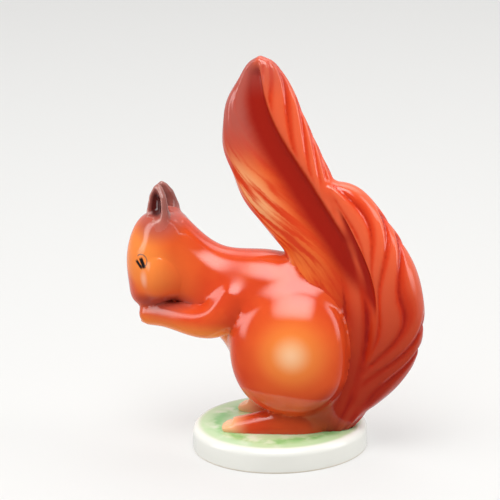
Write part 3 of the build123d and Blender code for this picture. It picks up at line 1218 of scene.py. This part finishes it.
@dataclass(frozen=True)
class Plinth:
    """Round plinth with a rounded top edge, a foot ring and a recess with a vent."""

    radius: float = 25.0
    height: float = 7.0
    top_round: float = 2.2
    foot_round: float = 0.6
    ring_width: float = 3.5
    recess_depth: float = 2.6
    recess_round: float = 1.2
    vent_radius: float = 2.0
    vent_x: float = 9.0
    sides: int = 192
    hub: float = 1.0

    def mesh(self, material: bpy.types.Material, origin: Vector) -> bpy.types.Mesh:
        """Turn the plinth.

        Args:
            material: Its glaze.
            origin: Middle of its underside, in metres.

        Returns:
            The plinth in the row's frame.
        """
        inner = self.radius - self.ring_width
        corners = (
            (0.0, self.height, 0.0),
            (self.radius, self.height, self.top_round),
            (self.radius, 0.0, self.foot_round),
            (inner, 0.0, 0.3),
            (inner, self.recess_depth, self.recess_round),
            (0.0, self.recess_depth, 0.0),
        )
        profile = np.array([(reach - self.hub, -height, 0.0) for reach, height, _ in corners])
        mesh = mesh_of("plinth", profile, [], [(i, i + 1) for i in range(len(corners) - 1)])
        keep_guide(mesh, "round", np.array([rounding for *_, rounding in corners]))
        recipe = self._recipe(material)
        made = recipe.run(
            mesh,
            {
                "Sides": self.sides,
                "Hub": self.hub,
                "Vent radius": self.vent_radius,
                "Vent depth": self.height * 3.0,
                "Vent offset": self.vent_x,
            },
        )
        face_outwards(made)
        made.transform(Matrix.Translation(origin) @ Matrix.Scale(MILLIMETRE, 4))
        made.shade_smooth()
        made.set_sharp_from_angle(angle=math.radians(40.0))
        return made

    @staticmethod
    def _recipe(material: bpy.types.Material) -> Recipe:
        """Build the tree that turns the profile about the plinth's axis and bores the vent."""
        recipe = Recipe("Turned plinth")
        bench = recipe.bench
        sides = recipe.size("Sides", "NodeSocketInt")
        hub = recipe.size("Hub")
        vent_radius = recipe.size("Vent radius")
        vent_depth = recipe.size("Vent depth")
        vent_offset = recipe.size("Vent offset")
        line = bench.node("GeometryNodeMeshToCurve", None, {"Mesh": recipe.geometry})
        rounding = bench.node("GeometryNodeInputNamedAttribute", {"data_type": "FLOAT"}, {"Name": "round"})
        rounded = bench.node(
            "GeometryNodeFilletCurve",
            {"mode": "POLY"},
            {"Curve": line, "Count": 10, "Radius": rounding, "Limit Radius": True},
        )
        circle = bench.node("GeometryNodeCurvePrimitiveCircle", None, {"Resolution": sides, "Radius": hub})
        turned = bench.node("GeometryNodeCurveToMesh", None, {"Curve": circle, "Profile Curve": rounded})
        closed = bench.node("GeometryNodeMergeByDistance", None, {"Geometry": turned, "Distance": 0.01})
        drill = bench.node(
            "GeometryNodeMeshCylinder", None, {"Vertices": 48, "Radius": vent_radius, "Depth": vent_depth}
        )
        offset = bench.node("ShaderNodeCombineXYZ", None, {"X": vent_offset})
        placed = bench.node("GeometryNodeTransform", None, {"Geometry": drill, "Translation": offset})
        bored = bench.node(
            "GeometryNodeMeshBoolean",
            {"operation": "DIFFERENCE", "solver": "EXACT"},
            {"Mesh 1": closed, "Mesh 2": placed},
        )
        recipe.finish(bored, material)
        return recipe


@dataclass(frozen=True)
class Colour:
    """Colour as the eye reads it on a screen, from 0 to 255."""

    red: int
    green: int
    blue: int

    def linear(self) -> tuple[float, float, float, float]:
        """Give the colour as light, for a shader."""
        steps = [channel / 255.0 for channel in (self.red, self.green, self.blue)]
        light = [step / 12.92 if step <= 0.04045 else ((step + 0.055) / 1.055) ** 2.4 for step in steps]
        return (*light, 1.0)


class Paint(Bench):
    """Material of one glaze, with the colours painted under it."""

    def __init__(self, name: str, stand: Vector) -> None:
        """Start the material.

        Args:
            name: Its name.
            stand: Where the plinth's axis meets its top, in metres.
        """
        self.material = bpy.data.materials.new(name)
        self.material.use_nodes = True
        self.material.node_tree.nodes.clear()
        super().__init__(self.material.node_tree)
        coordinates = self.node("ShaderNodeTexCoord", None, None, "Object")
        scale = (1.0 / MILLIMETRE,) * 3
        shift = tuple(-value / MILLIMETRE for value in stand)
        self.place = self.node(
            "ShaderNodeVectorMath", {"operation": "MULTIPLY_ADD"}, {0: coordinates, 1: scale, 2: shift}
        )
        self.x = self.node("ShaderNodeSeparateXYZ", None, {0: self.place}, "X")
        self.y = self.node("ShaderNodeSeparateXYZ", None, {0: self.place}, "Y")
        self.z = self.node("ShaderNodeSeparateXYZ", None, {0: self.place}, "Z")
        self.side = abs(self.y)
        self.folded = self.node("ShaderNodeCombineXYZ", None, {"X": self.x, "Y": self.side, "Z": self.z})

    def guide(self, guide: Guide) -> Value:
        """Read one of the skin's guides."""
        return self.node("ShaderNodeAttribute", {"attribute_name": guide.value}, None, "Fac")

    def mix(self, amount: Operand, under: Value | Colour, over: Value | Colour) -> Value:
        """Lay one colour over another.

        Args:
            amount: How much of the upper colour shows.
            under: Lower colour.
            over: Upper colour.

        Returns:
            The mixed colour.
        """
        colours = [colour.linear() if isinstance(colour, Colour) else colour for colour in (under, over)]
        return self.node(
            "ShaderNodeMix", {"data_type": "RGBA"}, {0: amount, 6: colours[0], 7: colours[1]}, 2
        )

    def noise(self, size: float, detail: float = 2.0, stretch: Point3 = (1.0, 1.0, 1.0)) -> Value:
        """Give a cloudy value.

        Args:
            size: Size of a cloud in millimetres.
            detail: Finer clouds on it.
            stretch: How much longer the clouds are along each axis.

        Returns:
            The value, about a half.
        """
        scale = tuple(1.0 / (size * longer) for longer in stretch)
        place = self.node("ShaderNodeVectorMath", {"operation": "MULTIPLY"}, {0: self.place, 1: scale})
        return self.node("ShaderNodeTexNoise", None, {"Vector": place, "Scale": 1.0, "Detail": detail}, 0)

    def spot(self, centre: Point3, inner: float, outer: float, squash: Point3 = (1.0, 1.0, 1.0)) -> Value:
        """Give a soft spot on both sides of the squirrel.

        Args:
            centre: Its middle on one side, as x, distance from the plane of symmetry and height.
            inner: Radius inside which it is full.
            outer: Radius outside which it is gone.
            squash: Factors on the distances along each axis.

        Returns:
            The spot's strength.
        """
        away = self.node("ShaderNodeVectorMath", {"operation": "SUBTRACT"}, {0: self.folded, 1: centre})
        away = self.node("ShaderNodeVectorMath", {"operation": "MULTIPLY"}, {0: away, 1: squash})
        reach = self.node("ShaderNodeVectorMath", {"operation": "LENGTH"}, {0: away}, "Value")
        return reach.eased(outer, inner)

    def finish(self, colour: Value, roughness: Operand = 0.09) -> bpy.types.Material:
        """Lay the clear glaze over the colour.

        Args:
            colour: Painted colour.
            roughness: Roughness of the glaze.

        Returns:
            The finished material.
        """
        ripple = self.noise(5.0, 1.0)
        bump = self.node("ShaderNodeBump", None, {"Strength": 0.25, "Distance": 0.0001, "Height": ripple})
        shader = self.node(
            "ShaderNodeBsdfPrincipled",
            None,
            {"Base Color": colour, "Roughness": roughness, "IOR": 1.52, "Normal": bump},
        )
        end = self.tree.nodes.new("ShaderNodeOutputMaterial")
        self.tree.links.new(shader.socket, end.inputs["Surface"])
        return self.material


@dataclass(frozen=True)
class BodyPaint:
    """Orange-red airbrushing of the body, with a pale glow on the haunches and round the eyes."""

    red: Colour = Colour(212, 68, 31)
    orange: Colour = Colour(232, 98, 42)
    gold: Colour = Colour(246, 138, 62)
    cream: Colour = Colour(253, 196, 148)
    deep: Colour = Colour(140, 14, 5)
    ink: Colour = Colour(28, 22, 24)
    lid: Colour = Colour(120, 96, 84)
    # Pale nose paint, also used for the painted highlight below each eye.
    blush_and_highlight: Colour = Colour(250, 214, 200)
    eye_strokes: tuple[tuple[float, float, float, float, float], ...] = (
        (-37.8, 46.9, -46.0, 1.4, 0.45),
        (-36.6, 47.5, -64.0, 1.5, 0.62),
    )
    # Middle of the painted highlight below each eye, as x, distance from the plane of symmetry and height.
    painted_highlight_spot: Point3 = (-36.0, 8.6, 43.0)
    haunch_glow: Point3 = (8.5, 18.0, 25.6)
    face_glow: Point3 = (-38.5, 6.0, 49.5)
    cheek_glow: Point3 = (-33.5, 9.0, 45.0)
    muzzle: Point3 = (-42.0, 3.0, 38.5)
    chin_shade: Point3 = (-33.0, 7.5, 35.6)
    forearm: Point3 = (-30.0, 6.0, 34.5)
    ear_root: Point3 = (-32.8, 4.5, 60.5)
    seat: Point3 = (17.0, 8.0, 8.0)
    dusk: Colour = Colour(178, 84, 72)

    def base(self, paint: Paint) -> Value:
        """Paint the body's colours.

        Args:
            paint: Material to paint in.

        Returns:
            The colour.
        """
        cloud = paint.noise(9.0, 2.0)
        colour = paint.mix(cloud.eased(0.35, 0.7) * 0.35, self.red, self.orange)
        flank = paint.side.eased(9.0, 14.0)
        colour = paint.mix(flank * paint.spot(self.haunch_glow, 7.0, 17.5, (1.0, 0.15, 1.0)), colour, self.orange)
        colour = paint.mix(flank * paint.spot(self.haunch_glow, 3.5, 12.0, (1.0, 0.15, 1.0)), colour, self.gold)
        colour = paint.mix(flank * paint.spot(self.haunch_glow, 0.0, 6.5, (1.0, 0.15, 1.0)), colour, self.cream)
        colour = paint.mix(paint.spot(self.cheek_glow, 8.0, 17.0), colour, self.orange)
        colour = paint.mix(paint.spot(self.face_glow, 4.0, 12.0) * 0.95, colour, self.gold)
        colour = paint.mix(paint.spot(self.cheek_glow, 2.0, 9.0) * 0.7, colour, self.gold)
        colour = paint.mix(paint.spot(self.muzzle, 2.0, 6.5) * 0.7, colour, self.red)
        colour = paint.mix(paint.spot(self.chin_shade, 1.5, 6.5, (0.5, 1.0, 1.8)) * 0.75, colour, self.deep)
        colour = paint.mix(paint.spot(self.ear_root, 4.0, 10.0) * 0.85, colour, self.dusk)
        colour = paint.mix(paint.spot(self.seat, 4.0, 11.0) * 0.7, colour, self.deep)
        colour = paint.mix(paint.spot(self.forearm, 2.0, 8.0, (0.5, 1.0, 1.3)) * 0.5, colour, self.dusk)
        under_arm = paint.z.eased(33.0, 28.5) * paint.x.eased(-9.0, -13.0)
        colour = paint.mix(under_arm * 0.95, colour, self.gold)
        toes = paint.x.eased(-5.0, -13.0) * paint.z.eased(7.0, 4.0)
        colour = paint.mix(toes * 0.9, colour, self.cream)
        # Deep red in the creases and seams: glaze pooled there, and painted shade where shade falls.
        groove = paint.guide(Guide.GROOVE).eased(0.25, 1.3)
        return paint.mix(groove * 0.65, colour, self.deep)

    def material(self, stand: Vector) -> bpy.types.Material:
        """Make the body's glaze."""
        paint = Paint(Slot.RED.value, stand)
        return paint.finish(self._eye(paint, self.base(paint)))

    @staticmethod
    def _stroke(paint: Paint, x: float, z: float, slant: float, half_length: float, half_width: float) -> Value:
        """Draw one stroke of the brush on the sides of the head.

        Args:
            paint: Material to paint in.
            x: Middle of the stroke along the body, in millimetres.
            z: Height of its middle, in millimetres.
            slant: Its slope, in degrees.
            half_length: Half of its length, in millimetres.
            half_width: Half of its width, in millimetres.

        Returns:
            One on the stroke, nought off it.
        """
        run, rise = math.cos(math.radians(slant)), math.sin(math.radians(slant))
        along = abs((paint.x - x) * run + (paint.z - z) * rise)
        across = abs((paint.x - x) * rise - (paint.z - z) * run)
        ends = along.eased(half_length + 0.35, half_length - 0.35)
        return ends * across.eased(half_width + 0.18, half_width - 0.18)

    def _eye(self, paint: Paint, colour: Value) -> Value:
        """Draw the eyes as two short strokes under a thin lid, a painted highlight below each eye, and a pale nose."""
        sides = paint.side.eased(3.5, 4.5)
        # Painted highlight: a soft pale spot on each cheek below the eye, where the glaze catches the light.
        colour = paint.mix(paint.spot(self.painted_highlight_spot, 0.3, 2.8, (1.4, 1.0, 0.8)) * 0.4, colour, self.blush_and_highlight)
        for stroke in self.eye_strokes:
            colour = paint.mix(self._stroke(paint, *stroke) * sides, colour, self.ink)
        reach = ((paint.x + 36.9) * (paint.x + 36.9) + (paint.z - 48.1) * (paint.z - 48.1)) ** 0.5
        arc = abs(reach - 1.8).eased(0.26, 0.1) * (paint.x + paint.z - 10.4).eased(0.0, 1.0)
        colour = paint.mix(arc * sides * 0.8, colour, self.lid)
        nose = paint.spot((-43.6, 0.0, 36.6), 0.7, 1.8)
        return paint.mix(nose * 0.8, colour, self.blush_and_highlight)


@dataclass(frozen=True)
class TailPaint:
    """Airbrushing of the tail: brown front, deep red parting, light flutes and a streaked lower front."""

    flute: Colour = Colour(220, 64, 28)
    crest: Colour = Colour(236, 106, 66)
    crease: Colour = Colour(168, 20, 7)
    parting: Colour = Colour(152, 10, 3)
    root: Colour = Colour(150, 24, 10)
    brown: Colour = Colour(174, 86, 76)
    orange: Colour = Colour(226, 80, 32)
    gold: Colour = Colour(240, 118, 52)
    cream: Colour = Colour(246, 182, 128)

    def material(self, stand: Vector) -> bpy.types.Material:
        """Make the tail's glaze."""
        paint = Paint(Slot.TAIL.value, stand)
        share, ahead = paint.guide(Guide.SHARE), paint.guide(Guide.AHEAD)
        plume = 1.0 - paint.guide(Guide.REAR)
        colour = self._petals(paint)
        front = ahead.eased(0.12, 0.4) * plume
        colour = paint.mix(front, colour, self._front(paint, share, ahead))
        crease = paint.guide(Guide.FLUTE).eased(0.75, 0.3)
        colour = paint.mix(crease * 0.8, colour, self.crease)
        valley = paint.guide(Guide.VALLEY).eased(0.2, 0.75)
        colour = paint.mix(valley * 0.92, colour, self.parting)
        tip = share.eased(0.86, 0.95) * plume
        colour = paint.mix(tip * 0.5, colour, self.brown)
        # Deep red in the creases: glaze pooled there, and painted shade where shade falls.
        groove = paint.guide(Guide.GROOVE).eased(0.3, 1.5)
        colour = paint.mix(groove * 0.7, colour, self.parting)
        # Darker deep red towards the bottom of the tail.
        low = paint.z.eased(60.0, 14.0)
        return paint.finish(paint.mix(low * 0.75, colour, self.root))

    def _petals(self, paint: Paint) -> Value:
        """Paint the combed petals, deep red in the creases and lighter on the crests."""
        flute = paint.guide(Guide.FLUTE)
        colour = paint.mix(flute.eased(0.3, 0.8), self.crease, self.flute)
        return paint.mix(flute.eased(0.75, 1.0) * 0.7, colour, self.crest)

    def _front(self, paint: Paint, share: Value, ahead: Value) -> Value:
        """Paint the plume's smooth front, brown above and streaked with cream below.

        Args:
            paint: Material to paint in.
            share: Share of the plume's length.
            ahead: Angle ahead of the parting, in right angles.

        Returns:
            The colour.
        """
        across = paint.node("ShaderNodeCombineXYZ", None, {"X": share * 5.0, "Y": share * 9.0 - ahead * 4.0})
        streak = paint.node("ShaderNodeTexNoise", None, {"Vector": across, "Scale": 1.6, "Detail": 2.5}, 0)
        colour = paint.mix(streak.eased(0.35, 0.65), self.flute, self.orange)
        lower = share.eased(0.76, 0.66) * ahead.eased(0.3, 0.75)
        colour = paint.mix(lower * streak.eased(0.42, 0.62), colour, self.gold)
        pale = share.bell(0.63, 0.08) * ahead.bell(0.85, 0.25) * streak.eased(0.4, 0.6)
        colour = paint.mix(pale, colour, self.cream)
        upper = share.eased(0.67, 0.82) * (0.7 + 0.5 * streak)
        return paint.mix(upper.least(1.0) * 0.9, colour, self.brown)


@dataclass(frozen=True)
class EarPaint:
    """Mauve-brown airbrushing of the ears, dark in the conch and pale on the rim, with a painted highlight along their
    ridges.
    """

    mauve: Colour = Colour(128, 66, 60)
    dark: Colour = Colour(70, 14, 10)
    # Pale paint round the conch, also used for the painted highlight on the ridges.
    rim: Colour = Colour(198, 138, 126)

    def material(self, stand: Vector) -> bpy.types.Material:
        """Make the ears' glaze."""
        paint = Paint(Slot.EAR.value, stand)
        body = BodyPaint().base(paint)
        colour = paint.mix(paint.z.eased(57.5, 63.0), body, self.mauve)
        conch = paint.guide(Guide.VALLEY)
        colour = paint.mix(conch.bell(0.12, 0.1) * 0.7, colour, self.rim)
        colour = paint.mix(conch.eased(0.3, 0.7), colour, self.dark)
        # Painted highlight: the ears are paler along their ridges, where the light catches them.
        ridge_highlight = paint.guide(Guide.GROOVE).eased(-0.6, -1.6)
        return paint.finish(paint.mix(ridge_highlight * 0.5, colour, self.rim))


@dataclass(frozen=True)
class PlinthPaint:
    """White glaze with a pale green wash and darker strokes on top, and a bare foot ring."""

    white: Colour = Colour(238, 238, 231)
    wash: Colour = Colour(196, 228, 178)
    stroke: Colour = Colour(110, 190, 96)
    bisque: Colour = Colour(226, 216, 200)

    def material(self, stand: Vector) -> bpy.types.Material:
        """Make the plinth's glaze."""
        paint = Paint(Slot.PLINTH.value, stand)
        reach = (paint.x * paint.x + paint.y * paint.y) ** 0.5
        top = paint.z.eased(-0.9, -0.1) * reach.eased(24.0, 22.0)
        cloud = paint.noise(7.0, 3.0)
        colour = paint.mix(top * cloud.eased(0.12, 0.5), self.white, self.wash)
        ragged = paint.noise(6.0, 2.0) * 5.0
        ring = (reach + ragged).bell(20.0, 2.2) * cloud.eased(0.36, 0.56)
        colour = paint.mix(top * ring * 0.8, colour, self.stroke)
        foot = paint.z.eased(-6.3, -6.7)
        colour = paint.mix(foot, colour, self.bisque)
        return paint.finish(colour, 0.08 + foot * 0.6)


@dataclass(frozen=True)
class Softbox:
    """Soft light of a studio, aimed at the figurine."""

    name: str
    place: Point3
    size: Point2
    power: float
    aim: Point3 = (0.0, 0.0, 0.05)
    soft_edge: float = 0.25

    def hang(self) -> bpy.types.Object:
        """Put the light into the scene."""
        lamp = bpy.data.lights.new(self.name, "AREA")
        lamp.shape = "RECTANGLE"
        lamp.size, lamp.size_y = self.size
        lamp.energy = self.power
        lamp.use_nodes = True
        lamp.node_tree.nodes.clear()
        bench = Bench(lamp.node_tree)
        place = bench.node("ShaderNodeNewGeometry", None, None, "Parametric")
        fade = 1.0
        for axis in ("X", "Y"):
            share = bench.node("ShaderNodeSeparateXYZ", None, {0: place}, axis)
            fade = fade * (share * (1.0 - share)).eased(0.0, self.soft_edge)
        glow = bench.node("ShaderNodeEmission", None, {"Strength": fade})
        end = lamp.node_tree.nodes.new("ShaderNodeOutputLight")
        lamp.node_tree.links.new(glow.socket, end.inputs["Surface"])
        holder = bpy.data.objects.new(self.name, lamp)
        holder.location = self.place
        heading = Vector(self.aim) - Vector(self.place)
        holder.rotation_euler = heading.to_track_quat("-Z", "Y").to_euler()
        bpy.context.scene.collection.objects.link(holder)
        return holder


@dataclass(frozen=True)
class Studio:
    """Pale floor and backdrop, soft lights, and a camera at the photographer's place."""

    camera_place: Point3 = (174.3, -650.6, 240.6)
    camera_aim: Point3 = (-7.54, 0.04, 57.31)
    camera_roll: float = -1.46
    lens: float = 178.85
    sensor: float = 36.0
    sweep_front: float = 1.6
    sweep_depth: float = 1.6
    sweep_round: float = 0.5
    sweep_height: float = 1.6
    sweep_half_width: float = 2.5
    floor_colour: Colour = Colour(150, 149, 147)
    floor_glow: float = 0.5
    lights: tuple[Softbox, ...] = (
        Softbox("overhead", (0.0, -0.42, 0.95), (1.0, 1.0), 23.0),
        Softbox("rear_overhead", (0.1, 0.5, 0.9), (1.2, 0.6), 5.0),
        Softbox("left_window", (-0.95, -0.3, 0.45), (0.5, 1.1), 7.0),
        Softbox("right_window", (0.95, 0.12, 0.5), (0.6, 1.3), 8.0),
    )
    room_front: float = 0.12
    room_rear: float = 0.7
    backdrop: float = 0.85

    def build(self, stand: Vector) -> None:
        """Build the studio round the figurine.

        Args:
            stand: Middle of the plinth's underside, in metres.
        """
        self._sweep()
        for light in self.lights:
            light.hang()
        self._world()
        self._camera(stand)
        bpy.context.scene.view_settings.view_transform = "Standard"

    def _sweep(self) -> None:
        """Lay the paper sweep, a floor that curves up behind the figurine."""
        bend = [math.radians(90.0 * step / 16) for step in range(17)]
        line = [(-self.sweep_front, 0.0)]
        line += [
            (self.sweep_depth - self.sweep_round + self.sweep_round * math.sin(a), self.sweep_round * (1.0 - math.cos(a)))
            for a in bend
        ]
        line.append((self.sweep_depth, self.sweep_height))
        points = [(x, y, z) for y, z in line for x in (-self.sweep_half_width, self.sweep_half_width)]
        faces = [(2 * i, 2 * i + 1, 2 * i + 3, 2 * i + 2) for i in range(len(line) - 1)]
        mesh = mesh_of("paper_sweep", np.array(points), faces)
        mesh.shade_smooth()
        material = bpy.data.materials.new("paper")
        material.use_nodes = True
        shader = material.node_tree.nodes["Principled BSDF"]
        shader.inputs["Base Color"].default_value = self.floor_colour.linear()
        shader.inputs["Roughness"].default_value = 0.9
        shader.inputs["Emission Color"].default_value = (1.0, 1.0, 0.99, 1.0)
        shader.inputs["Emission Strength"].default_value = self.floor_glow
        mesh.materials.append(material)
        sweep = bpy.data.objects.new("paper_sweep", mesh)
        bpy.context.scene.collection.objects.link(sweep)
        sweep.visible_glossy = False

    def _world(self) -> None:
        """Fill the room with soft light, paler behind the figurine."""
        world = bpy.data.worlds.new("room")
        world.use_nodes = True
        world.node_tree.nodes.clear()
        bench = Bench(world.node_tree)
        seen = bench.node("ShaderNodeLightPath", None, None, "Is Camera Ray")
        heading = bench.node("ShaderNodeTexCoord", None, None, "Generated")
        rearward = bench.node("ShaderNodeSeparateXYZ", None, {0: heading}, "Y").eased(-0.2, 0.7)
        room = self.room_front + rearward * (self.room_rear - self.room_front)
        strength = seen * self.backdrop + (1.0 - seen) * room
        sky = bench.node("ShaderNodeBackground", None, {"Color": (1.0, 1.0, 1.0, 1.0), "Strength": strength})
        end = world.node_tree.nodes.new("ShaderNodeOutputWorld")
        world.node_tree.links.new(sky.socket, end.inputs["Surface"])
        bpy.context.scene.world = world

    def _camera(self, stand: Vector) -> None:
        """Set up the camera."""
        lens = bpy.data.cameras.new("camera")
        lens.lens = self.lens
        lens.sensor_width = self.sensor
        lens.clip_end = 20.0
        place = Vector(self.camera_place) * MILLIMETRE + stand
        aim = Vector(self.camera_aim) * MILLIMETRE + stand
        turn = (aim - place).to_track_quat("-Z", "Y").to_matrix().to_4x4()
        roll = Matrix.Rotation(math.radians(self.camera_roll), 4, "Z")
        holder = bpy.data.objects.new("camera", lens)
        holder.matrix_world = Matrix.Translation(place) @ turn @ roll
        bpy.context.scene.collection.objects.link(holder)
        bpy.context.scene.camera = holder


def show(mesh: bpy.types.Mesh, node: str, material: bpy.types.Material, slot: Slot) -> bpy.types.Object:
    """Put a finished piece into the scene in place of its node.

    Args:
        mesh: The piece in the row's frame.
        node: Node that it stands for.
        material: Its glaze.
        slot: Slot of the record that the glaze belongs to; not used.

    Returns:
        The piece's object.
    """
    mesh.materials.clear()
    mesh.materials.append(material)
    piece = bpy.data.objects.new(f"glazed_{node}", mesh)
    bpy.context.scene.collection.objects.link(piece)
    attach(piece, BODY)
    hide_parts(node)
    LOG.info("%s: %d vertices", piece.name, len(mesh.vertices))
    return piece


def main() -> None:
    """Build the figurine, glaze it and set up the studio."""
    logging.basicConfig(level=logging.INFO, format="%(name)s: %(message)s")
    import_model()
    low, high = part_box("plinth")
    foot = Vector(((low.x + high.x) / 2.0, (low.y + high.y) / 2.0, low.z))
    stand = foot + Vector((0.0, 0.0, Plinth.height * MILLIMETRE))

    red_glaze = BodyPaint().material(stand)
    tail_glaze = TailPaint().material(stand)
    ear_glaze = EarPaint().material(stand)
    plinth_glaze = PlinthPaint().material(stand)
    glazes = {piece: (red_glaze, Slot.RED) for piece in Piece}
    glazes[Piece.TAIL] = tail_glaze, Slot.TAIL
    glazes[Piece.LEFT_EAR] = glazes[Piece.RIGHT_EAR] = ear_glaze, Slot.EAR

    digits = Digits(red_glaze)
    combing = Combing(tail_glaze)
    forms = [
        *Torso().forms(),
        *Head().forms(),
        *Ear().forms(),
        *Foreleg().forms(digits),
        *Haunch().forms(),
        *HindFoot().forms(digits),
        *Tail().forms(combing),
    ]
    skin = Skin(forms, Fettling())
    for piece, (glaze, slot) in glazes.items():
        show(skin.cut(piece, stand), piece.value, glaze, slot)
    show(Plinth().mesh(plinth_glaze, foot), "plinth", plinth_glaze, Slot.PLINTH)

    Studio().build(foot)


if __name__ == "__main__":
    main()
